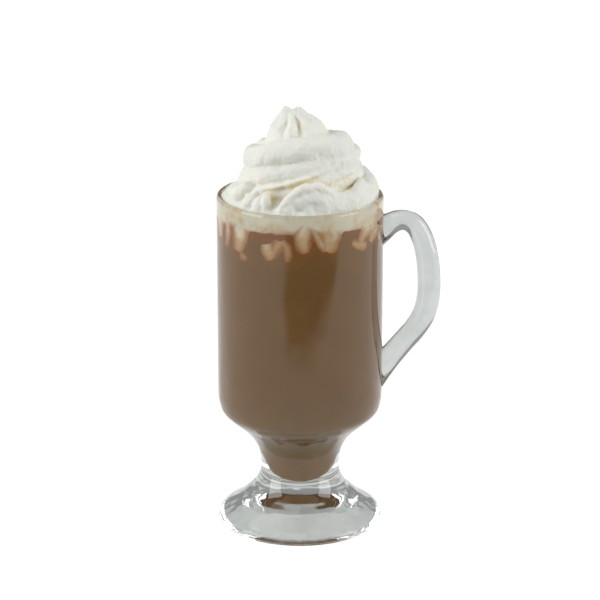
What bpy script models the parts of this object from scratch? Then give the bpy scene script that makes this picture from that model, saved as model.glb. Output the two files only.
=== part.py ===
# A footed glass mug of milky coffee under a piped swirl of whipped cream.
# Sizes are in millimetres and become metres when a mesh is made. Z is up, and the origin lies on the
# surface that the foot stands on, in the middle of the outline, so the mug's own axis is to the left of it.

import math
import random

import bmesh
import bpy
import numpy as np

MM = 0.001

# Driving sizes of the glass
RIM_HEIGHT = 150.0
BODY_RADIUS = 36.25
WALL = 2.8
FOOT_RADIUS = 36.5
STEM_RADIUS = 17.3
HANDLE_REACH = 61.5
LIP_ROUNDING = 1.3
GAP = 0.35

# Height at which the wall's inner face becomes straight, and the lowest point of the bowl
STRAIGHT_FROM = 66.0
BOWL_BOTTOM = 18.2

SEGMENTS = 56
FINE_SEGMENTS = 2 * SEGMENTS
SHARP_ANGLE = 40
INSIDE_RADIUS = BODY_RADIUS - WALL
FILL_RADIUS = INSIDE_RADIUS - GAP

AXIS_X = -(HANDLE_REACH - FOOT_RADIUS) / 2

# Outer side from the foot's edge up to the straight body: radius, height
OUTSIDE_CURVE = [
    (FOOT_RADIUS - 0.7, 0.3), (FOOT_RADIUS, 1.6), (35.8, 3.6), (32.6, 6.1), (28.2, 9.0),
    (24.8, 12.0), (21.3, 15.5), (19.0, 19.0), (STEM_RADIUS + 0.1, 23.5), (STEM_RADIUS + 0.2, 28.5),
    (18.9, 34.5), (22.2, 40.0), (27.0, 45.0), (32.0, 49.2), (35.2, 53.0), (BODY_RADIUS, 58.5),
]
# Inner side from the bowl's lowest point up to the straight wall: radius, height
INSIDE_CURVE = [
    (0.0, BOWL_BOTTOM), (4.2, 19.0), (7.4, 21.6), (9.3, 26.0), (10.4, 31.0), (12.0, 36.0),
    (15.6, 40.2), (20.6, 43.6), (25.6, 47.2), (29.9, 51.0), (32.3, 55.4), (INSIDE_RADIUS, STRAIGHT_FROM),
]
# Underside from the resting ring in to the dome's middle: radius, height
UNDERSIDE_CURVE = [
    (32.0, 0.0), (30.4, 0.9), (24.0, 4.2), (18.0, 7.0), (12.0, 9.2), (6.0, 10.6), (0.0, 11.0),
]
RESTING_RING_OUTER = 34.6

# Handle: distance from the mug's axis, height, thickness seen from the side, width seen from the front
HANDLE_LINE = [
    (31.0, 131.4, 14.0, 12.5), (35.0, 133.8, 11.6, 11.2), (39.0, 136.4, 9.6, 9.8),
    (42.8, 138.0, 8.7, 9.3), (46.6, 137.9, 8.8, 9.2), (50.4, 135.2, 9.2, 9.2), (53.4, 129.4, 9.6, 9.3),
    (55.4, 121.0, 9.9, 9.4), (HANDLE_REACH - 5.05, 110.5, 10.1, 9.5), (55.9, 102.0, 10.1, 9.5),
    (54.0, 94.8, 10.1, 9.4), (50.2, 88.4, 9.9, 9.3), (45.4, 82.6, 9.8, 9.4), (40.6, 76.8, 10.0, 9.9),
    (36.2, 71.5, 11.0, 10.8), (31.0, 65.2, 13.0, 12.4),
]
HANDLE_SQUARENESS = 2.7
HANDLE_SIDES = 16
HANDLE_STEPS = 2

# Surface between cream and coffee. Each lobe of cream hangs down along the wall:
# angle from the front in degrees, positive to the right, half its width in degrees, depth
CREAM_LEVEL = 142.2
BAND_BELOW_CREAM = 20.0
LOBES = [
    (-82.0, 8.0, 9.0), (-66.0, 6.0, 9.0), (-49.0, 9.5, 13.0), (-21.5, 9.0, 12.6), (-9.6, 4.6, 10.6),
    (3.0, 9.0, 9.2), (19.0, 11.5, 8.4), (41.0, 7.0, 6.0), (55.0, 10.0, 9.6), (75.0, 9.0, 8.6),
]
LOBE_SPREAD = 1.4
LOBE_ROUNDNESS = 0.8
LOBE_THICKNESS = 9.0
LOBE_TIP_THICKNESS = 3.0
LOBE_SLOPE = 0.7
# The lobes round the back: number, angles from and to which they stand, how far each may shift as a share
# of its room, and the ranges of their half widths and depths
HIDDEN_LOBES = 10
HIDDEN_FROM = 92.0
HIDDEN_TO = 268.0
HIDDEN_SHIFT = 0.25
HIDDEN_HALF_WIDTHS = (5.0, 10.0)
HIDDEN_DEPTHS = (6.0, 12.5)
HIDDEN_SEED = 7

# Cream swirl: turn in degrees, counter-clockwise from the right, radius of the ring, height, half thickness
SWIRL_KEYS = [
    (-320, 20.0, 144.0, 8.5), (-270, 21.6, 147.0, 9.2), (-180, 22.6, 149.6, 9.2), (-112, 20.9, 149.8, 9.3),
    (-80, 22.9, 151.0, 9.7), (-45, 24.4, 150.4, 9.3), (0, 25.0, 151.6, 9.2), (90, 20.6, 154.6, 9.4),
    (180, 17.6, 156.0, 8.8), (240, 18.0, 158.8, 9.2), (300, 17.8, 162.4, 9.4), (360, 18.4, 162.2, 9.3),
    (450, 14.6, 163.0, 9.0), (540, 15.8, 165.8, 8.9), (600, 14.0, 169.8, 8.8), (660, 15.0, 170.8, 8.4),
    (720, 17.6, 169.0, 8.4), (765, 13.6, 168.4, 7.9), (810, 9.6, 171.0, 7.7), (900, 6.4, 175.2, 7.3),
    (970, 3.0, 177.4, 5.0),
]
SWIRL_STEP = 5
SWIRL_SIDES = 48
# Valleys along the rope of cream: angle up from straight outwards where the rope's turn is 180 degrees,
# width below and above it, depth as a share. They turn round the rope along its length.
SWIRL_VALLEYS = [
    (-27, 14, 36, 0.28), (-52, 40, 15, 0.28), (-92, 34, 26, 0.24), (66, 26, 54, 0.34), (206, 44, 34, 0.30),
]
SWIRL_TWIST = 0.6

# Peak of the swirl: distance right of the axis, distance behind it, height, radius
PEAK_KEYS = [
    (-0.9, -1.5, 168.0, 14.4), (-0.9, -1.3, 175.0, 13.8), (-1.2, -1.0, 180.3, 11.9),
    (-1.3, -0.8, 183.2, 10.0), (-2.3, -0.6, 185.2, 7.2), (-3.0, -0.4, 186.2, 4.4), (-3.2, -0.3, 186.6, 2.0),
]
# Valleys that run down the peak: angle counter-clockwise from the right, width before and after it, depth
PEAK_VALLEYS = [
    (-84, 22, 18, 0.60), (-120, 22, 14, 0.30), (-28, 28, 28, 0.24), (30, 34, 34, 0.26), (92, 32, 32, 0.28),
    (152, 30, 30, 0.20), (200, 24, 24, 0.12),
]
TIP_VALLEYS = [(-84, 44, 44, 0.5), (100, 50, 50, 0.3)]
VALLEY_SHARPNESS = 1.4
# The valleys fade out down the peak, between these heights, to this share of their depth
VALLEY_HEIGHTS = (177.0, 184.0)
VALLEY_LEAST = 0.25
# The two tips that end it: distance right of the axis and behind it, height, radius, from below upwards
TIPS = [
    [(-3.6, -0.8, 180.0, 5.2), (-4.6, -1.0, 184.5, 4.4), (-5.4, -1.0, 187.4, 2.6), (-5.9, -0.8, 189.0, 0.9)],
    [(-0.6, 0.4, 180.0, 5.4), (-0.7, 0.6, 184.5, 4.6), (-0.8, 0.6, 187.0, 2.8), (-0.8, 0.6, 188.4, 1.0)],
]

# Core that fills the inside of the swirl and the mouth of the glass, past the space that the cream is cut to:
# radius, height
CORE_RADIUS = FILL_RADIUS + 1.5
CORE_BOTTOM = CREAM_LEVEL - 22.2
CORE_CURVE = [
    (0.0, CORE_BOTTOM), (CORE_RADIUS, CORE_BOTTOM), (CORE_RADIUS, 148.8), (32.6, 150.2), (31.0, 151.2),
    (24.0, 155.0), (19.0, 162.0), (14.0, 170.0), (8.0, 176.0), (0.0, 180.0),
]

# Folds along the front of the lowest turn, each a tapering bar through points that give the angle from the
# front, positive to the right, the distance from the axis, the height and the half thickness
FOLDS = [
    [(-70, 30.2, 146.0, 3.0), (-64, 29.4, 150.5, 3.4), (-59, 29.0, 154.4, 3.6), (-52, 27.6, 158.6, 2.4)],
    [(-50, 31.0, 146.0, 2.8), (-47, 30.6, 150.0, 3.2), (-44, 30.0, 153.2, 3.4), (-46, 28.6, 155.8, 2.8)],
    [(-37, 31.2, 146.0, 2.5), (-34, 30.8, 149.6, 2.9), (-35, 30.4, 152.4, 2.8), (-37, 29.2, 155.0, 2.2)],
    [(-26, 31.2, 146.0, 2.2), (-27, 31.0, 150.6, 2.3), (-27, 30.9, 154.6, 2.1), (-29, 29.8, 158.0, 1.6)],
    [(-16, 31.2, 146.4, 2.0), (-14, 31.0, 151.4, 1.9), (-10, 30.8, 154.8, 2.2), (-4, 30.3, 158.2, 2.0),
     (3, 29.8, 160.4, 2.3), (9, 29.6, 160.2, 1.8), (15, 29.6, 161.0, 2.2), (23, 29.6, 158.2, 1.8),
     (31, 29.6, 154.6, 2.1), (36, 30.4, 149.0, 2.2)],
    [(-6, 28.6, 152.2, 3.6), (1, 28.4, 154.4, 4.5), (12, 28.0, 155.4, 4.9), (25, 28.4, 152.6, 4.4)],
    [(-6, 31.2, 146.0, 2.8), (-8, 30.9, 150.4, 2.9), (-9, 30.4, 153.2, 2.6), (-10, 29.4, 156.0, 1.8)],
    [(12, 31.0, 146.0, 2.4), (8, 30.9, 150.8, 2.5), (4, 30.6, 154.4, 2.4), (0, 29.8, 159.2, 1.8)],
    [(19, 31.0, 146.0, 2.8), (21, 30.7, 150.6, 2.9), (19, 30.3, 153.8, 2.7), (15, 29.6, 158.0, 1.9)],
    [(30, 31.2, 146.0, 2.2), (29, 31.0, 149.6, 2.4), (29, 30.4, 152.8, 2.2), (31, 29.6, 156.0, 1.5)],
    [(34, 31.2, 146.4, 2.6), (40, 31.2, 150.6, 2.9), (48, 31.0, 153.4, 3.2), (57, 30.0, 156.2, 3.0),
     (68, 28.2, 158.6, 2.0)],
]
FOLD_SIDES = 12

# Grain of the cream's mesh
CREAM_VOXEL = 1.1
CREAM_KEPT_SHARE = 0.138
ROOM_TOP = 200.0
ROOM_REACH = 45.0


def clear_scene():
    for thing in list(bpy.data.objects):
        bpy.data.objects.remove(thing, do_unlink=True)


def smooth_line(points, steps):
    # Catmull-Rom curve through the points, with this many steps in each span
    rows = np.array(points, float)
    rows = np.vstack([2 * rows[0] - rows[1], rows, 2 * rows[-1] - rows[-2]])
    line = []
    for i in range(1, len(rows) - 2):
        before, start, end, after = rows[i - 1:i + 3]
        for t in np.arange(steps) / steps:
            line.append(0.5 * (2 * start + (end - before) * t
                               + (2 * before - 5 * start + 4 * end - after) * t ** 2
                               + (3 * start - before - 3 * end + after) * t ** 3))
    line.append(rows[-2])
    return line


def shifted(line, distance):
    # The line moved to its left by a distance, and kept off the other side of the axis
    line = np.array(line, float)
    along = np.gradient(line, axis=0)
    along[0] = (1.0, 0.0)
    along /= np.linalg.norm(along, axis=1)[:, None]
    moved = line + distance * np.stack([-along[:, 1], along[:, 0]], axis=1)
    moved[:, 0] = np.maximum(moved[:, 0], 0)
    return [tuple(point) for point in moved]


def ring(radius, height, count):
    # Points of a level circle round the mug's axis, starting at the right
    return [(AXIS_X + radius * math.cos(2 * math.pi * i / count),
             radius * math.sin(2 * math.pi * i / count), height) for i in range(count)]


def add_ring(mesh, points):
    return [mesh.verts.new([value * MM for value in point]) for point in points]


def join_rings(mesh, lower, upper):
    # Faces between two closed rings. The upper one has as many points, twice as many, or only one.
    count = len(lower)
    if len(upper) == 1:
        for i in range(count):
            mesh.faces.new((lower[i], lower[(i + 1) % count], upper[0]))
        return
    if len(upper) == count:
        for i in range(count):
            j = (i + 1) % count
            mesh.faces.new((lower[i], lower[j], upper[j], upper[i]))
        return
    for i in range(count):
        j = (i + 1) % count
        left, middle, right = upper[2 * i], upper[2 * i + 1], upper[(2 * i + 2) % len(upper)]
        mesh.faces.new((lower[i], middle, left))
        mesh.faces.new((lower[i], lower[j], middle))
        mesh.faces.new((lower[j], right, middle))


def finished(mesh, name, material):
    # Mesh turned into a named, smooth-shaded object with its faces pointing out
    bmesh.ops.recalc_face_normals(mesh, faces=mesh.faces)
    data = bpy.data.meshes.new(name)
    mesh.to_mesh(data)
    mesh.free()
    data.shade_smooth()
    data.set_sharp_from_angle(angle=math.radians(SHARP_ANGLE))
    thing = bpy.data.objects.new(name, data)
    if material:
        data.materials.append(material)
    bpy.context.scene.collection.objects.link(thing)
    return thing


def as_helper(thing):
    thing.hide_render = True
    thing.display_type = "WIRE"
    return thing


def add_turned(mesh, profile):
    # Closed skin turned round the mug's axis from a profile of radius and height that starts and ends there
    rings = [add_ring(mesh, ring(radius, height, SEGMENTS)) for radius, height in profile[1:-1]]
    join_rings(mesh, rings[0], add_ring(mesh, [(AXIS_X, 0.0, profile[0][1])]))
    for lower, upper in zip(rings[:-1], rings[1:]):
        join_rings(mesh, lower, upper)
    join_rings(mesh, rings[-1], add_ring(mesh, [(AXIS_X, 0.0, profile[-1][1])]))


def turned(profile, name, material=None):
    mesh = bmesh.new()
    add_turned(mesh, profile)
    return finished(mesh, name, material)


def boolean(thing, operation, other):
    cut = thing.modifiers.new(operation.lower(), "BOOLEAN")
    cut.operation = operation
    cut.object = other
    cut.solver = "EXACT"


def material(name, color, roughness, transmission=0.0):
    made = bpy.data.materials.new(name)
    made.use_nodes = True
    shader = made.node_tree.nodes["Principled BSDF"]
    shader.inputs["Base Color"].default_value = (*color, 1.0)
    shader.inputs["Roughness"].default_value = roughness
    shader.inputs["Metallic"].default_value = 0.0
    shader.inputs["Transmission Weight"].default_value = transmission
    return made


# Glass mug

def make_handle():
    # Closed bar along the handle's line, with a rounded square section that widens at both roots
    line = smooth_line(HANDLE_LINE, HANDLE_STEPS)
    mesh = bmesh.new()
    rings = []
    for i, (x, z, thickness, width) in enumerate(line):
        ahead = line[min(i + 1, len(line) - 1)]
        behind = line[max(i - 1, 0)]
        slope = math.atan2(ahead[1] - behind[1], ahead[0] - behind[0])
        points = []
        for k in range(HANDLE_SIDES):
            angle = 2 * math.pi * (k + 0.5) / HANDLE_SIDES
            across = math.copysign(abs(math.cos(angle)) ** (2 / HANDLE_SQUARENESS), math.cos(angle))
            outward = math.copysign(abs(math.sin(angle)) ** (2 / HANDLE_SQUARENESS), math.sin(angle))
            out = outward * thickness / 2
            points.append((AXIS_X + x - out * math.sin(slope), across * width / 2, z + out * math.cos(slope)))
        rings.append(add_ring(mesh, points))
    for lower, upper in zip(rings[:-1], rings[1:]):
        join_rings(mesh, lower, upper)
    mesh.faces.new(rings[0])
    mesh.faces.new(rings[-1])
    return as_helper(finished(mesh, "handle_bar", None))


def make_glass_mug():
    lip_arc = [(LIP_ROUNDING * math.sin(math.radians(a)), LIP_ROUNDING * math.cos(math.radians(a)))
               for a in (90, 60, 30, 0)]
    outside = [(BODY_RADIUS - LIP_ROUNDING + out, RIM_HEIGHT - LIP_ROUNDING + up) for out, up in lip_arc]
    mouth = [(INSIDE_RADIUS + LIP_ROUNDING - out, RIM_HEIGHT - LIP_ROUNDING + up) for out, up in lip_arc[:-1]]
    profile = [(radius, height) for radius, height in reversed(UNDERSIDE_CURVE)]
    profile += [(RESTING_RING_OUTER, 0.0)]
    profile += [tuple(point) for point in smooth_line(OUTSIDE_CURVE, 1)]
    profile += outside + [(0.0, RIM_HEIGHT)]
    mug = turned(profile, "glass_mug", material("clear_glass", (0.80, 0.85, 0.82), 0.03, 1.0))
    boolean(mug, "UNION", make_handle())
    above = [(INSIDE_RADIUS + LIP_ROUNDING, RIM_HEIGHT + 1), (0.0, RIM_HEIGHT + 1)]
    hollow = [tuple(point) for point in smooth_line(INSIDE_CURVE, 1)] + mouth + above
    boolean(mug, "DIFFERENCE", as_helper(turned(hollow, "bowl_hollow")))
    return mug


# Surface between coffee and cream

def all_lobes():
    # The lobes that show, and others like them round the back
    draw = random.Random(HIDDEN_SEED)
    lobes = list(LOBES)
    room = (HIDDEN_TO - HIDDEN_FROM) / HIDDEN_LOBES
    for i in range(HIDDEN_LOBES):
        angle = HIDDEN_FROM + room * (i + 0.5 + draw.uniform(-HIDDEN_SHIFT, HIDDEN_SHIFT))
        lobes.append((angle, draw.uniform(*HIDDEN_HALF_WIDTHS), draw.uniform(*HIDDEN_DEPTHS)))
    return lobes


def cream_underside(angle, radius, lobes):
    # Height of the surface at an angle in degrees, counter-clockwise from the right, and a radius
    depth = 0.0
    for centre, half_width, lobe_depth in lobes:
        away = abs((angle + 90 - centre + 180) % 360 - 180) / (half_width * LOBE_SPREAD)
        depth = max(depth, lobe_depth * max(0.0, 1 - away ** 2) ** LOBE_ROUNDNESS)
    inward = min(1.0, max(0.0, (radius - FILL_RADIUS + LOBE_THICKNESS) / LOBE_THICKNESS))
    return CREAM_LEVEL - depth * inward ** LOBE_SLOPE


def underside_rings(mesh, lobes, lift):
    # Rings of the surface from the wall in to the axis, of which the outermost is returned
    rings = []
    for radius in (FILL_RADIUS, FILL_RADIUS - LOBE_TIP_THICKNESS, FILL_RADIUS - LOBE_THICKNESS):
        rings.append(add_ring(mesh, [
            (x, y, lift + cream_underside(360 * i / FINE_SEGMENTS, radius, lobes))
            for i, (x, y, _) in enumerate(ring(radius, 0.0, FINE_SEGMENTS))]))
    rings.append(add_ring(mesh, [(AXIS_X, 0.0, CREAM_LEVEL + lift)]))
    for outer, inner in zip(rings[:-1], rings[1:]):
        join_rings(mesh, outer, inner)
    return rings[0]


# Coffee

def make_coffee(lobes):
    side = shifted(smooth_line(INSIDE_CURVE, 1), GAP)
    mesh = bmesh.new()
    rings = [add_ring(mesh, [(AXIS_X, 0.0, side[0][1])])]
    rings += [add_ring(mesh, ring(radius, height, SEGMENTS)) for radius, height in side[1:-1]]
    rings.append(add_ring(mesh, ring(FILL_RADIUS, STRAIGHT_FROM, SEGMENTS)))
    join_rings(mesh, rings[1], rings[0])
    for lower, upper in zip(rings[1:-1], rings[2:]):
        join_rings(mesh, lower, upper)
    band = add_ring(mesh, ring(FILL_RADIUS, CREAM_LEVEL - BAND_BELOW_CREAM, FINE_SEGMENTS))
    join_rings(mesh, rings[-1], band)
    join_rings(mesh, band, underside_rings(mesh, lobes, -GAP / 2))
    return finished(mesh, "coffee", material("milky_coffee", (0.23, 0.135, 0.07), 0.35))


# Whipped cream

def add_bar(mesh, centres, outwards, ups, sizes, sides, shape):
    # Closed bar whose section at each centre lies in the plane of the outward and up directions
    rings = []
    for i, centre in enumerate(centres):
        points = []
        for k in range(sides):
            angle = 2 * math.pi * k / sides
            reach = sizes[i] * shape(i, angle)
            points.append(centre + reach * (math.cos(angle) * outwards[i] + math.sin(angle) * ups[i]))
        rings.append(add_ring(mesh, points))
    for lower, upper in zip(rings[:-1], rings[1:]):
        join_rings(mesh, lower, upper)
    mesh.faces.new(rings[0])
    mesh.faces.new(rings[-1])


def carved(angle, valleys, deepness=1.0):
    # Share of the full radius that sharp valleys between soft ridges leave at an angle in degrees
    left = 1.0
    for centre, before, after, depth in valleys:
        away = (angle - centre + 180) % 360 - 180
        away = away / after if away > 0 else -away / before
        left -= deepness * depth * max(0.0, 1 - away) ** VALLEY_SHARPNESS
    return left


def add_swirl(mesh):
    # Rope of cream with soft ridges and sharp valleys, which turn slowly round it along its length
    steps = (SWIRL_KEYS[-1][0] - SWIRL_KEYS[0][0]) // SWIRL_STEP
    turns = np.linspace(SWIRL_KEYS[0][0], SWIRL_KEYS[-1][0], steps + 1)
    keys = np.array(smooth_line(SWIRL_KEYS, 12))
    radius, height, size = (np.interp(turns, keys[:, 0], keys[:, k]) for k in (1, 2, 3))
    round_axis = np.radians(turns)
    centres = np.stack([AXIS_X + radius * np.cos(round_axis), radius * np.sin(round_axis), height], axis=1)
    outwards = np.stack([np.cos(round_axis), np.sin(round_axis), np.zeros(len(turns))], axis=1)
    ups = np.tile((0.0, 0.0, 1.0), (len(turns), 1))

    def shape(i, angle):
        return carved(math.degrees(angle) - SWIRL_TWIST * (turns[i] - 180), SWIRL_VALLEYS)

    add_bar(mesh, centres, outwards, ups, size, SWIRL_SIDES, shape)


def add_upright(mesh, keys, valleys):
    # Bar with level sections through keys of right, behind, height and radius, and valleys down its side
    keys = np.array(smooth_line(keys, 4))
    deepness = np.interp(keys[:, 2], VALLEY_HEIGHTS, (VALLEY_LEAST, 1.0))
    centres = keys[:, :3] + (AXIS_X, 0.0, 0.0)
    outwards = np.tile((1.0, 0.0, 0.0), (len(keys), 1))
    ups = np.tile((0.0, 1.0, 0.0), (len(keys), 1))

    def shape(i, angle):
        return carved(math.degrees(angle), valleys, deepness[i])

    add_bar(mesh, centres, outwards, ups, keys[:, 3], SWIRL_SIDES, shape)


def add_folds(mesh):
    for points in FOLDS:
        keys = np.array(smooth_line(points, 5))
        round_axis = np.radians(keys[:, 0] - 90)
        flat = np.zeros(len(keys))
        outwards = np.stack([np.cos(round_axis), np.sin(round_axis), flat], axis=1)
        centres = outwards * keys[:, 1:2] + np.stack([flat + AXIS_X, flat, keys[:, 2]], axis=1)
        ups = np.cross(outwards, np.gradient(centres, axis=0))
        ups /= np.linalg.norm(ups, axis=1)[:, None]
        add_bar(mesh, centres, outwards, ups, keys[:, 3], FOLD_SIDES, lambda i, angle: 1.0)


def make_cream_room(lobes):
    # The space that cream may fill: above the coffee, inside the wall, and free above the rim
    mesh = bmesh.new()
    lowest = underside_rings(mesh, lobes, GAP / 2)
    steps = [(FILL_RADIUS, RIM_HEIGHT - LIP_ROUNDING), (INSIDE_RADIUS + 0.2, RIM_HEIGHT + 0.1),
             (INSIDE_RADIUS + LIP_ROUNDING, RIM_HEIGHT + GAP), (ROOM_REACH, RIM_HEIGHT + GAP),
             (ROOM_REACH, ROOM_TOP)]
    rings = [lowest] + [add_ring(mesh, ring(radius, height, FINE_SEGMENTS)) for radius, height in steps]
    rings.append(add_ring(mesh, [(AXIS_X, 0.0, ROOM_TOP)]))
    for lower, upper in zip(rings[:-1], rings[1:]):
        join_rings(mesh, lower, upper)
    return as_helper(finished(mesh, "cream_room", None))


def make_whipped_cream(lobes):
    mesh = bmesh.new()
    add_turned(mesh, CORE_CURVE)
    add_swirl(mesh)
    add_upright(mesh, PEAK_KEYS, PEAK_VALLEYS)
    for tip in TIPS:
        add_upright(mesh, tip, TIP_VALLEYS)
    add_folds(mesh)
    cream = finished(mesh, "whipped_cream", material("whipped_cream", (0.84, 0.83, 0.77), 0.55))
    fused = cream.modifiers.new("fused", "REMESH")
    fused.mode = "VOXEL"
    fused.voxel_size = CREAM_VOXEL * MM
    fused.use_smooth_shade = True
    fewer = cream.modifiers.new("fewer", "DECIMATE")
    fewer.ratio = CREAM_KEPT_SHARE
    boolean(cream, "INTERSECT", make_cream_room(lobes))
    return cream


def main():
    clear_scene()
    lobes = all_lobes()
    make_glass_mug()
    make_coffee(lobes)
    make_whipped_cream(lobes)


main()
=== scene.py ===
import math
import random

import bmesh
import bpy
import numpy as np
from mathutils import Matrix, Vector, bvhtree, noise


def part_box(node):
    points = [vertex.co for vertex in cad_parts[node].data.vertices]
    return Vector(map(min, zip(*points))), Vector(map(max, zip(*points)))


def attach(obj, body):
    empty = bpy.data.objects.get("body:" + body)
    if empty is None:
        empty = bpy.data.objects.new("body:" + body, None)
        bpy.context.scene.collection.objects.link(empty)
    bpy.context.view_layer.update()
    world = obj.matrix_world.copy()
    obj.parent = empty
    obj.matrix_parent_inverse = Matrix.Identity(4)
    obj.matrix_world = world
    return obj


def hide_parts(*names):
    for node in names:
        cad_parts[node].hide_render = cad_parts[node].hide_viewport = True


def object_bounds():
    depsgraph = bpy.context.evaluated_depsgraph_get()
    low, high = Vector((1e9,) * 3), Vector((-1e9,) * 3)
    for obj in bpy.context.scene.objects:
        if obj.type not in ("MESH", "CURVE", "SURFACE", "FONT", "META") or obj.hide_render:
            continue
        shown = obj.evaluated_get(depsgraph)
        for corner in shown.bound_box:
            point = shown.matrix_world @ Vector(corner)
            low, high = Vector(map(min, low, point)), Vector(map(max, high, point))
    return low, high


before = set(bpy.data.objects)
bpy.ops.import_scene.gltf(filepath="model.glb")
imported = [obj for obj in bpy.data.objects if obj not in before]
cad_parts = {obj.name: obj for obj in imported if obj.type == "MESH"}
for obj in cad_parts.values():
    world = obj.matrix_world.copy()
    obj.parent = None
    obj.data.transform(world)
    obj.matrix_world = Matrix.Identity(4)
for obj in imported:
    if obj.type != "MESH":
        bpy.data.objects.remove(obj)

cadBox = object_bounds()
mm = 0.001
coffeeLow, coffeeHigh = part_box("coffee")
axisX = (coffeeLow.x + coffeeHigh.x) / 2  # the mug's own axis

print("scene: frame loaded")


# Camera, where the photograph was taken from
cameraPlace = {
    "distance": 1.1304,
    "elevation": 17.96,
    "targetHeight": 101.66 * mm,
    "lens": 154.85,
    "sensor": 36,
    "clip": (0.01, 50),
}


def makeCamera(place):
    data = bpy.data.cameras.new("camera")
    data.lens = place["lens"]
    data.sensor_width = place["sensor"]
    data.clip_start, data.clip_end = place["clip"]
    camera = bpy.data.objects.new("camera", data)
    bpy.context.scene.collection.objects.link(camera)
    tilt = math.radians(place["elevation"])
    camera.location = (
        axisX,
        -place["distance"] * math.cos(tilt),
        place["targetHeight"] + place["distance"] * math.sin(tilt),
    )
    camera.rotation_euler = (math.pi / 2 - tilt, 0, 0)
    bpy.context.scene.camera = camera


makeCamera(cameraPlace)


# Shader sums: a wire stands for a socket, and sums on wires add Math nodes
class Wire:
    def __init__(self, tree, socket=None):
        self.tree = tree
        self.socket = socket

    def add(self, kind, settings=None, inputs=None, output=0):
        made = self.tree.nodes.new("ShaderNode" + kind)
        for name, value in (settings or {}).items():
            setattr(made, name, value)
        for name, value in (inputs or {}).items():
            self.plug(made.inputs[name], value)
        return Wire(self.tree, made.outputs[output])

    def plug(self, socket, value):
        if isinstance(value, Wire):
            self.tree.links.new(value.socket, socket)
        elif socket.type == "RGBA" and len(value) == 3:
            socket.default_value = (*value, 1)
        else:
            socket.default_value = value

    def sum(self, operation, first, second):
        return self.add("Math", {"operation": operation}, {0: first, 1: second})

    def __add__(self, other):
        return self.sum("ADD", self, other)

    def __radd__(self, other):
        return self.sum("ADD", other, self)

    def __sub__(self, other):
        return self.sum("SUBTRACT", self, other)

    def __rsub__(self, other):
        return self.sum("SUBTRACT", other, self)

    def __mul__(self, other):
        return self.sum("MULTIPLY", self, other)

    def __rmul__(self, other):
        return self.sum("MULTIPLY", other, self)

    def ramp(self, low, high):
        # 0 at low, 1 at high, smooth between
        return self.add("MapRange", {"interpolation_type": "SMOOTHSTEP"},
                        {"Value": self, "From Min": low, "From Max": high})

    def mix(self, first, second):
        # first colour where this wire is 0, second where it is 1
        return self.add("Mix", {"data_type": "RGBA", "clamp_factor": True},
                        {0: self, 6: first, 7: second}, 2)

    def point(self, centre=(0, 0, 0), scale=(1, 1, 1)):
        # place on the object, stretched for patterns that run one way
        place = self.add("TexCoord", output=3)
        return self.add("Mapping", {"vector_type": "POINT"},
                        {"Vector": place, "Location": centre, "Scale": scale})

    def axis(self, number):
        # x, y or z of a place: 0, 1 or 2
        return self.add("SeparateXYZ", {}, {"Vector": self}, number)

    def noise(self, scale, detail=3.0, roughness=0.5):
        return self.add("TexNoise", {}, {
            "Vector": self, "Scale": scale, "Detail": detail, "Roughness": roughness})

    def bump(self, strength, distance):
        return self.add("Bump", {}, {"Strength": strength, "Distance": distance, "Height": self})

    def attribute(self, name):
        return self.add("Attribute", {"attribute_name": name}, output=2)


def newMaterial(name, constants):
    # material with the constant values on the shader's own sockets
    material = bpy.data.materials.new(name)
    material.use_nodes = True
    tree = material.node_tree
    shader = tree.nodes["Principled BSDF"]
    start = Wire(tree)
    for socket, value in constants.items():
        start.plug(shader.inputs[socket], value)
    return material, shader, start


def linear(*color):
    # display colour out of 255 to the shader's linear colour
    return tuple(((c / 255 + 0.055) / 1.055) ** 2.4 if c > 10 else c / 255 / 12.92 for c in color)


# Common shape tools
def smoothLine(points, steps=6):
    # Catmull-Rom curve through the points
    rows = np.array(points, float)
    rows = np.vstack([2 * rows[0] - rows[1], rows, 2 * rows[-1] - rows[-2]])
    line = []
    for i in range(1, len(rows) - 2):
        before, start, end, after = rows[i - 1:i + 3]
        for t in np.arange(steps) / steps:
            line.append(0.5 * (2 * start + (end - before) * t
                               + (2 * before - 5 * start + 4 * end - after) * t ** 2
                               + (3 * start - before - 3 * end + after) * t ** 3))
    line.append(rows[-2])
    return np.array(line)


def toObject(mesh, name):
    bmesh.ops.recalc_face_normals(mesh, faces=mesh.faces)
    data = bpy.data.meshes.new(name)
    mesh.to_mesh(data)
    mesh.free()
    piece = bpy.data.objects.new(name, data)
    bpy.context.scene.collection.objects.link(piece)
    return piece


def spinOutline(mesh, outline, steps):
    # outline of radius and height in millimetres, turned once round the mug's axis
    points = [mesh.verts.new((axisX + r * mm, 0, z * mm)) for r, z in outline]
    edges = [mesh.edges.new(pair) for pair in zip(points, points[1:])]
    bmesh.ops.spin(mesh, geom=points + edges, axis=(0, 0, 1), cent=(axisX, 0, 0),
                   angle=2 * math.pi, steps=steps, use_merge=True)
    bmesh.ops.remove_doubles(mesh, verts=mesh.verts, dist=0.0005 * mm)


def sweepBar(mesh, stations, sides):
    # closed bar: a capped circle, pushed on from station to station; each gives its own section of points
    bar = bmesh.new()
    first = bmesh.ops.create_circle(bar, cap_ends=True, segments=sides, radius=mm)["verts"]
    cap = first[0].link_faces[0]
    for number, section in enumerate(stations):
        if number:
            made = bmesh.ops.extrude_face_region(bar, geom=[cap])["geom"]
            if number > 1:  # the first one stays as the bar's end
                bmesh.ops.delete(bar, geom=[cap], context="FACES_ONLY")
            cap = next(part for part in made if isinstance(part, bmesh.types.BMFace))
        for vert, spot in zip(list(cap.verts), section):
            vert.co = spot
    data = bpy.data.meshes.new("bar")
    bar.to_mesh(data)
    bar.free()
    mesh.from_mesh(data)
    bpy.data.meshes.remove(data)


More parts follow.
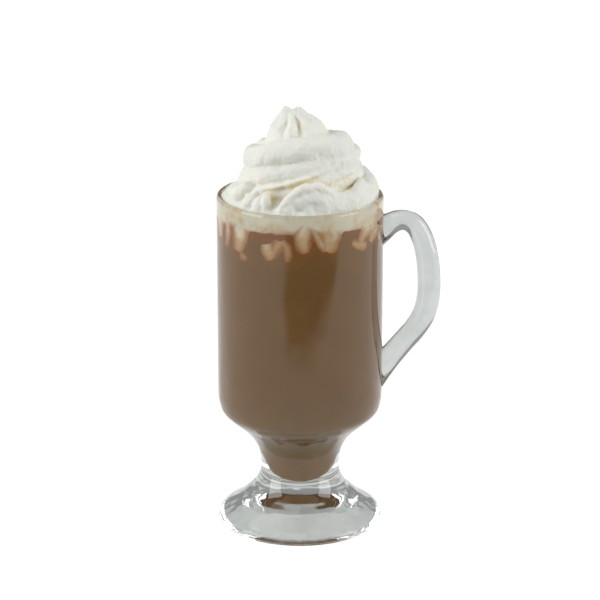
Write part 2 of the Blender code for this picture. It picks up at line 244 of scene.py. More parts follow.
def applied(piece):
    # the piece with its modifiers made part of its mesh
    graph = bpy.context.evaluated_depsgraph_get()
    data = bpy.data.meshes.new_from_object(piece.evaluated_get(graph))
    old = piece.data
    piece.modifiers.clear()
    piece.data = data
    bpy.data.meshes.remove(old)
    return piece


def readPoints(piece):
    # the mesh's places and normals as two arrays
    arrays = []
    for name in ("co", "normal"):
        values = np.empty(len(piece.data.vertices) * 3, np.float32)
        piece.data.vertices.foreach_get(name, values)
        arrays.append(values.reshape(-1, 3).astype(float))
    return arrays


def combine(piece, other, operation):
    cut = piece.modifiers.new(operation, "BOOLEAN")
    cut.operation = operation
    cut.object = other
    cut.solver = "MANIFOLD"
    applied(piece)
    bpy.data.objects.remove(other)


def shadeSmooth(piece, sharpAngle):
    piece.data.shade_smooth()
    piece.data.set_sharp_from_angle(angle=math.radians(sharpAngle))


def putInFrame(piece, node, material):
    piece.data.materials.clear()
    piece.data.materials.append(material)
    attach(piece, "root")
    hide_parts(node)


# Glass mug: turned body, handle joined on, bowl hollowed out
glassMug = {
    "rimHeight": 150,
    "bodyRadius": 36.25,
    "insideRadius": 33.45,
    "lipRounding": 1.38,
    "lipSteps": 9,
    "mouthEnd": 0.06,  # angle at which the mouth's rounding meets the lip
    # straight wall: height that it starts from on each side, and between its rings
    "outsideWallFrom": 61,
    "insideWallFrom": 69,
    "wallStep": 3,
    "turnSteps": 192,
    # radius and height
    "outside": [
        (35.8, 0.3), (36.44, 1.6), (35.75, 3.6), (32.5, 6.1), (28.1, 9), (24.7, 12), (21.3, 15.5), (19, 19),
        (17.4, 23.5), (17.5, 28.5), (18.9, 34.5), (22.2, 40), (27, 45), (31.9, 49.2), (35.1, 53),
        (36.25, 58.5),
    ],
    "inside": [
        (0, 18.2), (4.2, 19), (7.4, 21.6), (9.3, 26), (10.4, 31), (12, 36), (15.6, 40.2), (20.6, 43.6),
        (25.6, 47.2), (29.9, 51), (32.3, 55.4), (33.45, 66),
    ],
    "underside": [(32, 0), (30.4, 0.9), (24, 4.2), (18, 7), (12, 9.2), (6, 10.6), (0, 11)],
    "undersideSteps": 5,
    "restingRing": 34.6,
    # distance from the axis, height, thickness from the side, width from the front
    "handle": [
        (31, 131.4, 14, 12.5), (35, 133.8, 11.6, 11.2), (39, 136.4, 9.6, 9.8), (42.8, 138, 8.7, 9.3),
        (46.6, 137.9, 8.8, 9.2), (50.4, 135.2, 9.2, 9.2), (53.4, 129.4, 9.6, 9.3), (55.4, 121, 9.9, 9.4),
        (56.36, 110.5, 10.1, 9.5), (55.9, 102, 10.1, 9.5), (54, 94.8, 10.1, 9.4), (50.2, 88.4, 9.9, 9.3),
        (45.4, 82.6, 9.8, 9.4), (40.6, 76.8, 10, 9.9), (36.2, 71.5, 11, 10.8), (31, 65.2, 13, 12.4),
    ],
    "handleSides": 48,
    "handleSteps": 8,
    "squareness": 2.5,
    "sharpAngle": 38,
    # finish: two tones of clear glass in clouds, its polish, and pressed waves with rings on the foot
    "tones": [(0.83, 0.88, 0.855), (0.935, 0.965, 0.945)],
    "toneSpread": (0.35, 0.65),
    "cloudScale": 130,
    "grainScale": 900,
    "polish": (0.004, 0.02),
    "waveScale": 140,
    "waveStretch": (1, 1, 0.35),
    "waveStrength": 0.3,
    "waveDepth": 0.8 * mm,
    "ringSpacing": 5.5 * mm,
    "ringHeights": (17 * mm, 9 * mm),
    "ringShare": 0.14,
}


def straightWall(glass, radius, lowest):
    highest = glass["rimHeight"] - glass["lipRounding"] - 1
    return [(radius, z) for z in np.arange(lowest, highest, glass["wallStep"])]


def lipArc(glass, radius, way, end):
    # quarter round at the rim: way is 1 for the outside, -1 for the mouth
    rise = glass["lipRounding"]
    out = way * rise
    return [(radius - out + out * math.sin(a), glass["rimHeight"] - rise + rise * math.cos(a))
            for a in np.linspace(math.pi / 2, end, glass["lipSteps"])]


def outsideOutline(glass):
    under = list(smoothLine(glass["underside"], glass["undersideSteps"])[::-1])
    wall = straightWall(glass, glass["bodyRadius"], glass["outsideWallFrom"])
    lip = lipArc(glass, glass["bodyRadius"], 1, 0)
    foot = [(glass["restingRing"], 0)] + list(smoothLine(glass["outside"]))
    return under + foot + wall + lip + [(0, glass["rimHeight"])]


def hollowOutline(glass):
    over = glass["rimHeight"] + 1
    wall = straightWall(glass, glass["insideRadius"], glass["insideWallFrom"])
    mouth = lipArc(glass, glass["insideRadius"], -1, glass["mouthEnd"])
    above = [(glass["insideRadius"] + glass["lipRounding"], over), (0, over)]
    return list(smoothLine(glass["inside"])) + wall + mouth + above


def handleStations(glass):
    line = smoothLine(glass["handle"], glass["handleSteps"])
    slopes = np.gradient(line[:, :2], axis=0)
    power = 2 / glass["squareness"]
    stations = []
    for (x, z, thickness, width), (runX, runZ) in zip(line, slopes):
        slope = math.atan2(runZ, runX)
        section = []
        for k in range(glass["handleSides"]):
            a = 2 * math.pi * (k + 0.5) / glass["handleSides"]
            across = math.copysign(abs(math.cos(a)) ** power, math.cos(a)) * width / 2
            out = math.copysign(abs(math.sin(a)) ** power, math.sin(a)) * thickness / 2
            section.append((axisX + (x - out * math.sin(slope)) * mm, across * mm,
                            (z + out * math.cos(slope)) * mm))
        stations.append(section)
    return stations


def glassMaterial(glass):
    material, shader, start = newMaterial("pressedGlass", {
        "Transmission Weight": 1.0,
        "IOR": 1.5,
        "Metallic": 0.0,
    })
    where = start.point()
    cloud = where.noise(glass["cloudScale"], 4)
    start.plug(shader.inputs["Base Color"], cloud.ramp(*glass["toneSpread"]).mix(*glass["tones"]))
    least, more = glass["polish"]
    start.plug(shader.inputs["Roughness"], least + more * where.noise(glass["grainScale"], 2))
    waves = start.point(scale=glass["waveStretch"]).noise(glass["waveScale"], 1)
    flat = start.point(centre=(-axisX, 0, 0), scale=(1, 1, 0))
    radius = start.add("VectorMath", {"operation": "LENGTH"}, {0: flat}, 1)
    rings = start.sum("SINE", radius * (2 * math.pi / glass["ringSpacing"]), 0.0)
    waves = waves + rings * where.axis(2).ramp(*glass["ringHeights"]) * glass["ringShare"]
    start.plug(shader.inputs["Normal"], waves.bump(glass["waveStrength"], glass["waveDepth"]))
    return material


def makeGlassMug(glass):
    mesh = bmesh.new()
    spinOutline(mesh, outsideOutline(glass), glass["turnSteps"])
    mug = toObject(mesh, "glassMug")
    mesh = bmesh.new()
    sweepBar(mesh, handleStations(glass), glass["handleSides"])
    combine(mug, toObject(mesh, "handleBar"), "UNION")
    mesh = bmesh.new()
    spinOutline(mesh, hollowOutline(glass), glass["turnSteps"])
    combine(mug, toObject(mesh, "bowlHollow"), "DIFFERENCE")
    shadeSmooth(mug, glass["sharpAngle"])
    putInFrame(mug, "glass_mug", glassMaterial(glass))
    print("scene: glass mug,", len(mug.data.polygons), "faces")


makeGlassMug(glassMug)


# Coffee: fills the bowl just into the wall, up into the cream
coffeeFill = {
    "intoWall": 0.1,
    "topHeight": 143.4,
    "topRing": 20,
    "turnSteps": 288,
    # finer rings from this height, where the colour follows the lobes
    "markedFrom": 124,
    "markedStep": 0.6,
    "sharpAngle": 50,
    # finish: the colour high and low in the bowl, and near the lobes
    "deepColor": linear(144, 104, 56),
    "bottomColor": linear(142, 109, 70),
    "edgeColor": linear(160, 104, 56),
    "bottomFade": (76 * mm, 44 * mm),
    "edgeFade": (-1.8, 0.2),
    "edgeUneven": 2.0,
    "cloudScale": 45,
    "grainScale": 1500,
    "light": {"least": 0.92, "cloud": 0.1, "grain": 0.05},
}


def coffeeMaterial(fill):
    material, shader, start = newMaterial("milkyCoffee", {
        "Roughness": 0.35,
        "IOR": 1.33,
        "Specular IOR Level": 0.1,
    })
    where = start.point()
    cloud = where.noise(fill["cloudScale"], 4, 0.6)
    grain = where.noise(fill["grainScale"], 2)
    base = where.axis(2).ramp(*fill["bottomFade"]).mix(fill["deepColor"], fill["bottomColor"])
    uneven = fill["edgeUneven"]
    near = (start.attribute("depth") + cloud * uneven - uneven / 2).ramp(*fill["edgeFade"])
    base = near.mix(base, fill["edgeColor"])
    light = fill["light"]["least"] + fill["light"]["cloud"] * cloud + fill["light"]["grain"] * grain
    shade = start.add("VectorMath", {"operation": "SCALE"}, {0: base, "Scale": light})
    start.plug(shader.inputs["Base Color"], shade)
    return material


def makeCoffee(fill, glass, cream, lobes):
    into, top = fill["intoWall"], fill["topHeight"]
    radius = glass["insideRadius"] + into
    bowl = [(0 if r == 0 else r + into, z - into) for r, z in smoothLine(glass["inside"])]
    heights = list(np.arange(glass["insideWallFrom"], fill["markedFrom"], glass["wallStep"]))
    heights += list(np.arange(fill["markedFrom"], top, fill["markedStep"]))
    wall = [(radius, z) for z in heights]
    mesh = bmesh.new()
    spinOutline(mesh, bowl + wall + [(radius, top), (fill["topRing"], top), (0, top)], fill["turnSteps"])
    coffee = toObject(mesh, "coffeeDrink")
    shadeSmooth(coffee, fill["sharpAngle"])
    addMark(coffee, "depth", wallDepth(readPoints(coffee)[0], cream, lobes))
    putInFrame(coffee, "coffee", coffeeMaterial(fill))
    print("scene: coffee")


# Whipped cream: a ridged rope coiled up to a peak, folds in front, and lobes sunk behind the glass
creamSwirl = {
    # turn in degrees, counter-clockwise from the right, radius of the ring, height, half thickness
    "rope": [
        (-320, 20, 144, 8.5), (-270, 21.6, 147, 9.2), (-180, 22.6, 149.6, 9.2), (-112, 20.9, 149.8, 9.3),
        (-80, 22.9, 151, 9.7), (-45, 24.4, 150.4, 9.3), (0, 25, 151.6, 9.2), (90, 20.6, 154.6, 9.4),
        (180, 17.6, 156, 8.8), (240, 18, 158.8, 9.2), (300, 17.8, 162.4, 9.4), (360, 18.4, 162.2, 9.3),
        (450, 14.6, 163, 9), (540, 15.8, 165.8, 8.9), (600, 14, 169.8, 8.8), (660, 15, 170.8, 8.4),
        (720, 17.6, 169, 8.4), (765, 13.6, 168.4, 7.9), (810, 9.6, 171, 7.7), (900, 6.4, 175.2, 7.3),
        (970, 3, 177.4, 5),
    ],
    "ropeSteps": 12,
    "ropeTurn": 3,
    "ropeSides": 96,
    # valleys along the rope: angle up from straight outwards at the rope's left, width each way, depth
    "grooves": [
        (-27, 14, 36, 0.28), (-52, 40, 15, 0.28), (-92, 34, 26, 0.24), (66, 26, 54, 0.34),
        (206, 44, 34, 0.30),
    ],
    "twist": 0.6,
    # how much the rope's thickness and its valleys' place and depth wander, and over how many degrees
    "thicknessWander": (0.05, 38),
    "placeWander": (12, 70),
    "depthWander": (0.6, 45),
    # right of the axis, behind it, height, radius
    "peak": [
        (-0.9, -1.5, 168, 14.4), (-0.9, -1.3, 175, 13.8), (-1.2, -1, 180.3, 11.9),
        (-1.3, -0.8, 183.2, 10), (-2.3, -0.6, 185.2, 7.2), (-3, -0.4, 186.2, 4.4),
        (-3.2, -0.3, 186.6, 2),
    ],
    "tips": [
        [(-3.6, -0.8, 180, 5.2), (-4.6, -1, 184.5, 4.4), (-5.4, -1, 187.4, 2.5), (-5.9, -0.8, 188.8, 0.9)],
        [(-0.6, 0.4, 180, 5.4), (-0.7, 0.6, 184.5, 4.6), (-0.8, 0.6, 187, 2.7), (-0.8, 0.6, 188.3, 1)],
    ],
    "peakSteps": 8,
    "peakSides": 96,
    "tipSides": 48,
    # angle counter-clockwise from the right, width before and after it, depth as a share
    "peakValleys": [
        (-84, 22, 18, 0.60), (-120, 22, 14, 0.30), (-28, 28, 28, 0.24), (30, 34, 34, 0.26),
        (92, 32, 32, 0.28), (152, 30, 30, 0.20), (200, 24, 24, 0.12),
    ],
    "tipValleys": [(-84, 44, 44, 0.5), (100, 50, 50, 0.3)],
    "valleySharpness": 1.4,
    # the valleys fade out down the peak, between these heights, to this share
    "valleyFade": (177, 184),
    "valleyLeast": 0.25,
    # angle from the front, positive to the right, distance from the axis, height, half thickness
    "folds": [
        [(-70, 30.2, 144.5, 3), (-64, 29.4, 150.5, 3.4), (-59, 29, 154.4, 3.6), (-52, 27.6, 158.6, 2.4)],
        [(-50, 31, 144.5, 2.8), (-47, 30.6, 150, 3.2), (-44, 30, 153.2, 3.4), (-46, 28.6, 155.8, 2.8)],
        [(-37, 31.2, 144.5, 2.5), (-34, 30.8, 149.6, 2.9), (-35, 30.4, 152.4, 2.8), (-37, 29.2, 155, 2.2)],
        [(-26, 31.2, 144.5, 2.2), (-27, 31, 150.6, 2.3), (-27, 30.9, 154.6, 2.1), (-29, 29.8, 158, 1.6)],
        [(-16, 31.2, 146.4, 2), (-14, 31, 151.4, 1.9), (-10, 30.8, 154.8, 2.2), (-4, 30.3, 158.2, 2),
         (3, 29.8, 160.4, 2.3), (9, 29.6, 160.2, 1.8), (15, 29.6, 161, 2.2), (23, 29.6, 158.2, 1.8),
         (31, 29.6, 154.6, 2.1), (36, 30.4, 149, 2.2)],
        [(-6, 28.6, 152.2, 3.6), (1, 28.4, 154.4, 4.5), (12, 28, 155.4, 4.9), (25, 28.4, 152.6, 4.4)],
        [(-6, 31.2, 144.5, 2.8), (-8, 30.9, 150.4, 2.9), (-9, 30.4, 153.2, 2.6), (-10, 29.4, 156, 1.8)],
        [(12, 31, 144.5, 2.4), (8, 30.9, 150.8, 2.5), (4, 30.6, 154.4, 2.4), (0, 29.8, 159.2, 1.8)],
        [(19, 31, 144.5, 2.8), (21, 30.7, 150.6, 2.9), (19, 30.3, 153.8, 2.7), (15, 29.6, 158, 1.9)],
        [(30, 31.2, 144.5, 2.2), (29, 31, 149.6, 2.4), (29, 30.4, 152.8, 2.2), (31, 29.6, 156, 1.5)],
        [(34, 31.2, 145, 2.6), (40, 31.2, 150.6, 2.9), (48, 31, 153.4, 3.2), (57, 30, 156.2, 3),
         (68, 28.2, 158.6, 2)],
    ],
    # inside of the swirl and the layer on the coffee: radius, height
    "core": [
        (0, 138), (30, 140), (34.4, 141.6), (34.4, 148.8), (32.8, 150.2), (31, 151.2), (24, 155),
        (19, 162), (14, 170), (8, 176), (0, 180),
    ],
    "coreSteps": 96,
    # lobes against the wall: angle from the front, height, half width
    "lobes": [
        [(-75, 147.3, 3), (-74, 140, 3), (-73, 133.7, 1.6)],
        [(-61, 144, 1.7), (-61.5, 137, 1.8), (-63, 131.3, 1)],
        [(-47.5, 143.9, 4), (-47.5, 139, 4.1), (-49, 133.8, 3.2), (-49.7, 131, 1.8)],
        [(-46.7, 129.7, 0.9), (-43.9, 129.2, 1.1), (-40.8, 128.7, 0.6)],
        [(-24.4, 136.6, 2.2), (-22.6, 133.4, 2.7), (-21.4, 129.9, 0.9)],
        [(-14.2, 138, 1.7), (-16.7, 135.6, 2.2), (-20.1, 131.7, 1.6)],
        [(-13.4, 138.4, 1.2), (-9.9, 136.4, 1.3), (-8.4, 133.2, 1.1), (-8.9, 129.9, 0.6)],
        [(4.3, 145, 2.9), (1.9, 140.1, 3.2), (2.7, 136.2, 2.7), (4.2, 133, 1.1)],
        [(9.2, 143.4, 1.2), (12.8, 139.9, 1.5), (16.1, 136.3, 1.5), (18.2, 134, 0.9)],
        [(21.6, 145.3, 4.1), (22.5, 140.4, 3.8), (21.6, 136, 2.9), (19.1, 134, 1.3)],
        [(40.1, 136.1, 1), (44.3, 134.6, 1.4), (51.1, 133.5, 1.7), (54.8, 133.5, 1.1)],
        [(57.5, 141, 3.3), (52.3, 138.3, 2.5), (48.7, 135.8, 1.8), (52.3, 132.9, 0.9)],
        [(68.6, 140.5, 3.8), (63.4, 136.7, 2.7), (58.9, 133.9, 1.6)],
        [(77.5, 138.5, 2.7), (74.5, 132.4, 1.8)],
    ],
    # lobes at the back, drawn at random: first angle, degrees taken up, ranges of shift, width, foot, lean
    "hiddenLobes": {
        "count": 13, "from": 88, "over": 180, "shift": 0.2,
        "width": (1.4, 3.8), "foot": (131, 137), "lean": 3, "heights": (144, 140),
    },
    # how far a lobe's bar lies inside the wall, is thicker than the lobe, is flattened,
    # and how far the stained outline reaches past the lobe
    "lobeInset": 0.2,
    "lobeSpare": 0.8,
    "lobeFlatness": 0.8,
    "outlineSpare": 0.5,
    "barSides": 24,
    # lower edge of the pale band under the rim: angle from the front, height
    "bandEdge": [
        (-180, 139), (-150, 141), (-120, 137.5), (-96, 138.5), (-81, 134.5), (-70, 138.5), (-58, 140.5),
        (-40, 139.5), (-18, 139.9), (-4, 140.8), (1, 143.5), (9, 141.9), (16, 140.7), (30, 139.8),
        (48, 139.4), (75, 135.6), (95, 138), (125, 140.5), (155, 138), (180, 139),
    ],
    "wallRadius": 33.6,
    # room that the cream may fill: its floor, rings on the wall, rounding at the mouth, space above
    "room": {
        "floor": 120, "rings": (122.0, 148.2, 0.5), "mouth": [(0, 148.6), (0.3, 149.6), (1.2, 150.3)],
        "above": (45, 200), "steps": 360,
    },
    "voxel": 0.46,
    "softening": 6,
    # small waves and tears: how close together, how high
    "waves": [(0.22, 0.5), (0.6, 0.3), (1.6, 0.13)],
    "tipSpare": 0.05,  # between the tip and the top of the solids
    # cream lies against the glass below this height and this near to the wall's radius
    "cleanHeight": 149.6,
    "stainedWall": 0.4,
    # rays that feel how closed in a place is, for the painted shade in hollows: start above the surface,
    # length
    "shadeRays": {"count": 14, "start": 0.3, "reach": 9},
    # finish in the open: plain cream, painted shade (a darker, warmer beige) in closed hollows, clouds
    "cleanColor": linear(236, 237, 229),
    "hollowShadeColor": linear(234, 220, 180),
    "cloudColor": linear(234, 231, 214),
    "hollowShadeFade": (0.35, 0.95),
    "cloudFade": (0.45, 0.8),
    "cloudShare": 0.25,
    # finish behind the glass: pale high up, made brighter than the open cream as painted light for the light
    # the glass keeps out, tan lower down, brown at the outline, streaks at the sides
    # pale cream colour, partly painted light: brighter than the cream in the open
    "paleWithPaintedLightColor": linear(255, 244, 224),
    "tanColor": linear(232, 196, 142),
    "outlineColor": linear(184, 116, 54),
    "streakColor": linear(220, 168, 104),
    "paleHeights": (128 * mm, 149 * mm),
    "paleFade": (0.2, 1.05),
    "paleUneven": 2.4,
    "outlineFade": (-0.6, 3.2),
    "outlineUneven": 3.0,
    "sideFade": (18 * mm, 34 * mm),
    "streakFade": (0.48, 0.72),
    "streakShare": (0.35, 0.45),
    "cloudScale": 120,
    "grainScale": 2600,
    "streakScale": 110,
}


def carved(angle, valleys, sharpness, deepness=1.0):
    # share of the full radius that sharp valleys between soft ridges leave at an angle
    left = 1.0
    for centre, before, after, depth in valleys:
        away = (angle - centre + 180) % 360 - 180
        away = away / after if away > 0 else -away / before
        left -= deepness * depth * max(0.0, 1 - away) ** sharpness
    return left


def wander(turn, amount, row, layer):
    # slow random change along the rope: how much, over how many degrees
    most, degrees = amount
    return most * noise.noise(Vector((turn / degrees, row, layer)))


def ropeStations(cream):
    keys = smoothLine(cream["rope"], cream["ropeSteps"])
    turns = np.arange(cream["rope"][0][0], cream["rope"][-1][0] + 1, cream["ropeTurn"])
    radius, height, size = (np.interp(turns, keys[:, 0], keys[:, k]) for k in (1, 2, 3))
    stations = []
    for turn, ringRadius, z, half in zip(turns, radius, height, size):
        around = math.radians(turn)
        thickness = 1 + wander(turn, cream["thicknessWander"], 0.3, 0.7)
        grooves = []
        for number, (start, below, above, depth) in enumerate(cream["grooves"]):
            drift = wander(turn, cream["placeWander"], number * 5.1, 2.2)
            deep = depth * (1 + wander(turn, cream["depthWander"], number * 3.3, 1.1))
            grooves.append((start + cream["twist"] * (turn - 180) + drift, below, above, deep))
        section = []
        for k in range(cream["ropeSides"]):
            a = 2 * math.pi * k / cream["ropeSides"]
            reach = half * thickness * carved(math.degrees(a), grooves, cream["valleySharpness"])
            out = ringRadius + reach * math.cos(a)
            section.append((axisX + out * math.cos(around) * mm, out * math.sin(around) * mm,
                            (z + reach * math.sin(a)) * mm))
        stations.append(section)
    return stations


def uprightStations(cream, keys, sides, valleys):
    stations = []
    for x, y, z, radius in smoothLine(keys, cream["peakSteps"]):
        deepness = np.interp(z, cream["valleyFade"], (cream["valleyLeast"], 1.0))
        section = []
        for k in range(sides):
            a = 2 * math.pi * k / sides
            reach = radius * carved(math.degrees(a), valleys, cream["valleySharpness"], deepness)
            section.append((axisX + (x + reach * math.cos(a)) * mm, (y + reach * math.sin(a)) * mm, z * mm))
        stations.append(section)
    return stations


def barStations(keys, sides, flat=1.0):
    # bar that follows the wall: angle from the front, distance, height, half thickness
    line = smoothLine(keys)
    around = np.radians(line[:, 0] - 90)
    outward = np.stack([np.cos(around), np.sin(around), 0 * around], axis=1)
    centres = outward * line[:, 1:2] + np.stack([0 * around, 0 * around, line[:, 2]], axis=1)
    across = np.cross(outward, np.gradient(centres, axis=0))
    across /= np.linalg.norm(across, axis=1)[:, None]
    stations = []
    for i in range(len(line)):
        section = []
        for k in range(sides):
            a = 2 * math.pi * k / sides
            spot = centres[i] + line[i, 3] * (flat * math.cos(a) * outward[i] + math.sin(a) * across[i])
            section.append((axisX + spot[0] * mm, spot[1] * mm, spot[2] * mm))
        stations.append(section)
    return stations


def allLobes(cream):
    draw = random.Random(11)
    lobes = list(cream["lobes"])
    hidden = cream["hiddenLobes"]
    count, shift = hidden["count"], hidden["shift"]
    top, middle = hidden["heights"]
    for i in range(count):
        angle = hidden["from"] + hidden["over"] * (i + 0.5 + draw.uniform(-shift, shift)) / count
        wide = draw.uniform(*hidden["width"])
        foot = draw.uniform(*hidden["foot"])
        lean = draw.uniform(-hidden["lean"], hidden["lean"])
        lobes.append([(angle, top, wide), (angle + lean / 2, middle, wide), (angle + lean, foot, wide * 0.5)])
    return lobes


def wallDepth(spots, cream, lobes):
    # millimetres from each place to the cream's outline on the wall, positive inside the cream
    samples = np.vstack([smoothLine(lobe) for lobe in lobes])
    angle = np.degrees(np.arctan2(spots[:, 1], spots[:, 0] - axisX)) + 90
    height = spots[:, 2] / mm
    edge = np.array(sorted(cream["bandEdge"]))
    depth = height - np.interp((angle + 180) % 360 - 180, edge[:, 0], edge[:, 1])
    for lobeAngle, z, half in samples:
        gap = np.radians((lobeAngle - angle + 180) % 360 - 180) * cream["wallRadius"]
        depth = np.maximum(depth, half + cream["outlineSpare"] - np.hypot(gap, z - height))
    return depth


def addMark(piece, name, values):
    data = piece.data.attributes.new(name, "FLOAT", "POINT").data
    data.foreach_set("value", values.astype(np.float32))


def upwardRays(count):
    # random directions in the half of space above a face
    draw = random.Random(5)
    rays = []
    while len(rays) < count:
        ray = Vector((draw.uniform(-1, 1), draw.uniform(-1, 1), draw.uniform(0, 1)))
        if 0.2 < ray.length < 1:
            rays.append(ray.normalized())
    return rays


def addCreamMarks(piece, cream, lobes):
    # stain: where cream lies against the glass; depth: how far inside its outline; hollow shade: how closed
    # in, for painted shade in hollows
    count = len(piece.data.vertices)
    spots, normals = readPoints(piece)
    stain = np.zeros(count)
    hollowShade = np.zeros(count)
    radius = np.hypot(spots[:, 0] - axisX, spots[:, 1]) / mm
    againstWall = (radius > cream["wallRadius"] - cream["stainedWall"]) & (
        spots[:, 2] < cream["cleanHeight"] * mm)
    tree = bvhtree.BVHTree.FromObject(piece, bpy.context.evaluated_depsgraph_get())
    feel = cream["shadeRays"]
    rays = upwardRays(feel["count"])
    for i in range(count):
        if againstWall[i]:
            stain[i] = 1
        else:
            normal = Vector(normals[i])
            turn = normal.to_track_quat("Z", "Y")
            start = Vector(spots[i]) + normal * feel["start"] * mm
            hits = sum(1 for ray in rays if tree.ray_cast(start, turn @ ray, feel["reach"] * mm)[0])
            hollowShade[i] = hits / len(rays)
    addMark(piece, "stain", stain)
    addMark(piece, "depth", wallDepth(spots, cream, lobes))
    addMark(piece, "hollowShade", hollowShade)


def creamMaterial(cream):
    material, shader, start = newMaterial("whippedCream", {
        "IOR": 1.4,
        "Specular IOR Level": 0.35,
        "Subsurface Weight": 0.45,
        "Subsurface Radius": (1.0, 0.8, 0.55),
        "Subsurface Scale": 2.2 * mm,
    })
    where = start.point()
    cloud = where.noise(cream["cloudScale"], 4, 0.6)
    grain = where.noise(cream["grainScale"], 3, 0.6)
    streak = start.point(scale=(1, 1, 0.8)).noise(cream["streakScale"], 4, 0.65)
    # in the open, with painted shade where the place is closed in
    # painted shade: a darker, warmer beige laid on where the rays find the place closed in
    shadeInHollows = start.attribute("hollowShade").ramp(*cream["hollowShadeFade"])
    clean = shadeInHollows.mix(cream["cleanColor"], cream["hollowShadeColor"])
    clean = (cloud.ramp(*cream["cloudFade"]) * cream["cloudShare"]).mix(clean, cream["cloudColor"])
    # behind the glass
    uneven = cream["paleUneven"]
    pale = (where.axis(2).ramp(*cream["paleHeights"]) + cloud * uneven - uneven / 2).ramp(*cream["paleFade"])
    # the pale end is partly painted light, brighter than the open cream
    inner = pale.mix(cream["tanColor"], cream["paleWithPaintedLightColor"])
    uneven = cream["outlineUneven"]
    inside = (start.attribute("depth") + streak * uneven - uneven / 2).ramp(*cream["outlineFade"])
    behind = inside.mix(cream["outlineColor"], inner)
    across = start.point(centre=(-axisX, 0, 0)).axis(0)
    side = start.sum("ABSOLUTE", across, 0.0).ramp(*cream["sideFade"])
    least, more = cream["streakShare"]
    streaks = streak.ramp(*cream["streakFade"]) * (least + more * side)
    behind = streaks.mix(behind, cream["streakColor"])
    start.plug(shader.inputs["Base Color"], start.attribute("stain").mix(clean, behind))
    start.plug(shader.inputs["Roughness"], 0.42 + 0.2 * cloud)
    start.plug(shader.inputs["Normal"], (grain * 0.5 + cloud).bump(0.35, 0.4 * mm))
    return material


def roughen(piece, cream):
    spots, normals = readPoints(piece)
    waves = [sum(noise.noise(Vector(spot) * close) * high for close, high in cream["waves"])
             for spot in spots / mm]
    spots += normals * np.array(waves)[:, None] * mm
    spots[:, 2] = np.minimum(spots[:, 2], cadBox[1].z - cream["tipSpare"] * mm)
    piece.data.vertices.foreach_set("co", spots.astype(np.float32).ravel())
    piece.data.update()


def creamRoom(cream):
    # the glass's inside, a little into its wall, and all the space above the rim
    room, wall = cream["room"], cream["wallRadius"]
    rings = [(wall, z) for z in np.arange(*room["rings"])]
    mouth = [(wall + out, z) for out, z in room["mouth"]]
    wide, high = room["above"]
    outline = [(0, room["floor"])] + rings + mouth + [(wide, mouth[-1][1]), (wide, high), (0, high)]
    mesh = bmesh.new()
    spinOutline(mesh, outline, room["steps"])
    return toObject(mesh, "creamRoom")


def makeCream(cream, lobes):
    mesh = bmesh.new()
    spinOutline(mesh, cream["core"], cream["coreSteps"])
    sweepBar(mesh, ropeStations(cream), cream["ropeSides"])
    sides = cream["peakSides"]
    sweepBar(mesh, uprightStations(cream, cream["peak"], sides, cream["peakValleys"]), sides)
    sides = cream["tipSides"]
    for tip in cream["tips"]:
        sweepBar(mesh, uprightStations(cream, tip, sides, cream["tipValleys"]), sides)
    sides = cream["barSides"]
    for fold in cream["folds"]:
        sweepBar(mesh, barStations(fold, sides), sides)
    radius = cream["wallRadius"] - cream["lobeInset"]
    for lobe in lobes:
        keys = [(angle, radius, z, half + cream["lobeSpare"]) for angle, z, half in lobe]
        sweepBar(mesh, barStations(keys, sides, cream["lobeFlatness"]), sides)
    piece = toObject(mesh, "creamSwirl")
    fuse = piece.modifiers.new("fuse", "REMESH")
    fuse.mode = "VOXEL"
    fuse.voxel_size = cream["voxel"] * mm
    soften = piece.modifiers.new("soften", "SMOOTH")
    soften.factor = 0.5
    soften.iterations = cream["softening"]
    applied(piece)
    roughen(piece, cream)
    combine(piece, creamRoom(cream), "INTERSECT")
    piece.data.shade_smooth()
    addCreamMarks(piece, cream, lobes)
    putInFrame(piece, "whipped_cream", creamMaterial(cream))
    print("scene: cream,", len(piece.data.polygons), "faces")


lobesOfCream = allLobes(creamSwirl)
makeCream(creamSwirl, lobesOfCream)
makeCoffee(coffeeFill, glassMug, creamSwirl, lobesOfCream)


# Studio: pale floor, soft light from above and both sides, a dark zone in front that only glass mirrors
studio = {
    "floorReach": 3.0,
    "floorDrop": 0.3 * mm,
    # the floor in three sheets, top one first: tone, glow, and the light that passes it by
    "floorSheets": {
        "floor": (0.10, 1.0, ["diffuse", "transmission", "shadow"]),
        "floorInGlass": (0.22, 0.44, ["camera", "diffuse", "glossy", "shadow"]),
        "floorUnder": (0.28, 0.0, ["camera", "glossy", "transmission"]),
    },
    "darkSheet": (0.02, 1.0, ["camera", "diffuse", "transmission", "shadow"]),
    "darkLift": 0.2 * mm,
    # near corners and far corners, and where the dark fades out on each side and towards the mug
    "darkZone": [(-0.12, -0.25), (0.40, -0.25), (-0.85, -1.8), (2.8, -1.8)],
    "darkFade": {"left": (-0.46, -0.24), "right": (1.45, 0.85), "near": (0.25, 0.33)},
    "darkTones": [(1.1, 1.1, 1.1), (0.12, 0.12, 0.12)],
    "worldStrength": 0.28,
    # place from the mug's axis, width and height, power
    "softBoxes": {
        "topBox": ((-0.35, 0.05, 1.25), (1.2, 1.0), 4.2),
        "leftBox": ((-1.25, -0.42, 0.5), (0.8, 1.2), 13.0),
        "rightBox": ((1.25, -0.42, 0.5), (0.8, 1.2), 13.0),
    },
    "lampTarget": 0.1,
    # light that runs round inside the foot's thick rim needs many turns to come out
    "lightTurns": 40,
}


def addSoftBox(name, place, size, power, target):
    data = bpy.data.lights.new(name, "AREA")
    data.shape = "RECTANGLE"
    data.size, data.size_y = size
    data.energy = power
    lamp = bpy.data.objects.new(name, data)
    bpy.context.scene.collection.objects.link(lamp)
    x, y, z = place
    lamp.location = (axisX + x, y, z)
    aim = Vector((axisX, 0, target)) - Vector((axisX + x, y, z))
    lamp.rotation_euler = aim.to_track_quat("-Z", "Y").to_euler()
    lamp.visible_camera = False


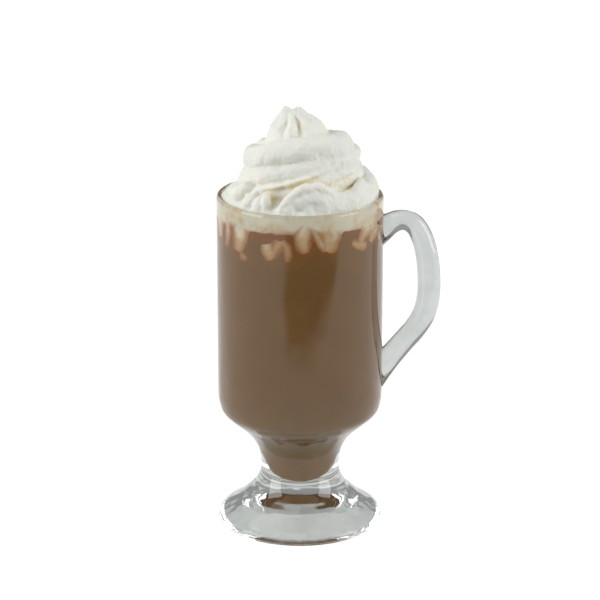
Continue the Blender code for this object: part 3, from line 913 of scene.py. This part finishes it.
def addSheet(name, corners, height, paper):
    # level sheet of the studio, paper that glows a little
    shade, glow, passedBy = paper
    mesh = bmesh.new()
    verts = bmesh.ops.create_grid(mesh, x_segments=1, y_segments=1, size=1)["verts"]
    for vert, (x, y) in zip(verts, corners):
        vert.co = (axisX + x, y, height)
    sheet = toObject(mesh, name)
    material, shader, start = newMaterial(name + "Paper", {
        "Roughness": 0.9,
        "Emission Strength": glow,
        "Emission Color": (1, 1, 1),
    })
    tone = start.point().noise(6).mix((shade,) * 3, (shade + 0.03,) * 3)
    start.plug(shader.inputs["Base Color"], tone)
    sheet.data.materials.append(material)
    for light in passedBy:
        setattr(sheet, "visible_" + light, False)
    return sheet


def softenCard(card, fade, tones):
    # glow at the card's borders, so that the dark zone has soft ones
    material = card.data.materials[0]
    shader = material.node_tree.nodes["Principled BSDF"]
    start = Wire(material.node_tree)
    where = start.point(centre=(-axisX, 0, 0))
    ahead = 0 - where.axis(1)
    lean = start.sum("DIVIDE", where.axis(0), ahead)
    dark = lean.ramp(*fade["left"]) * lean.ramp(*fade["right"]) * ahead.ramp(*fade["near"])
    start.plug(shader.inputs["Emission Color"], dark.mix(*tones))


def makeStudio(studio):
    reach = studio["floorReach"]
    wide = [(-reach, -reach), (reach, -reach), (-reach, reach), (reach, reach)]
    for number, (name, paper) in enumerate(studio["floorSheets"].items(), start=1):
        addSheet(name, wide, -number * studio["floorDrop"], paper)
    card = addSheet("darkCard", studio["darkZone"], studio["darkLift"], studio["darkSheet"])
    softenCard(card, studio["darkFade"], studio["darkTones"])
    world = bpy.data.worlds.new("studioAir")
    world.use_nodes = True
    background = world.node_tree.nodes["Background"]
    background.inputs["Color"].default_value = (1, 1, 1, 1)
    background.inputs["Strength"].default_value = studio["worldStrength"]
    for name, (place, size, power) in studio["softBoxes"].items():
        addSoftBox(name, place, size, power, studio["lampTarget"])
    scene = bpy.context.scene
    scene.world = world
    scene.view_settings.view_transform = "Standard"
    scene.view_settings.look = "None"
    for kind in ("max", "transmission", "glossy"):
        setattr(scene.cycles, kind + "_bounces", studio["lightTurns"])


makeStudio(studio)
print("scene: studio")
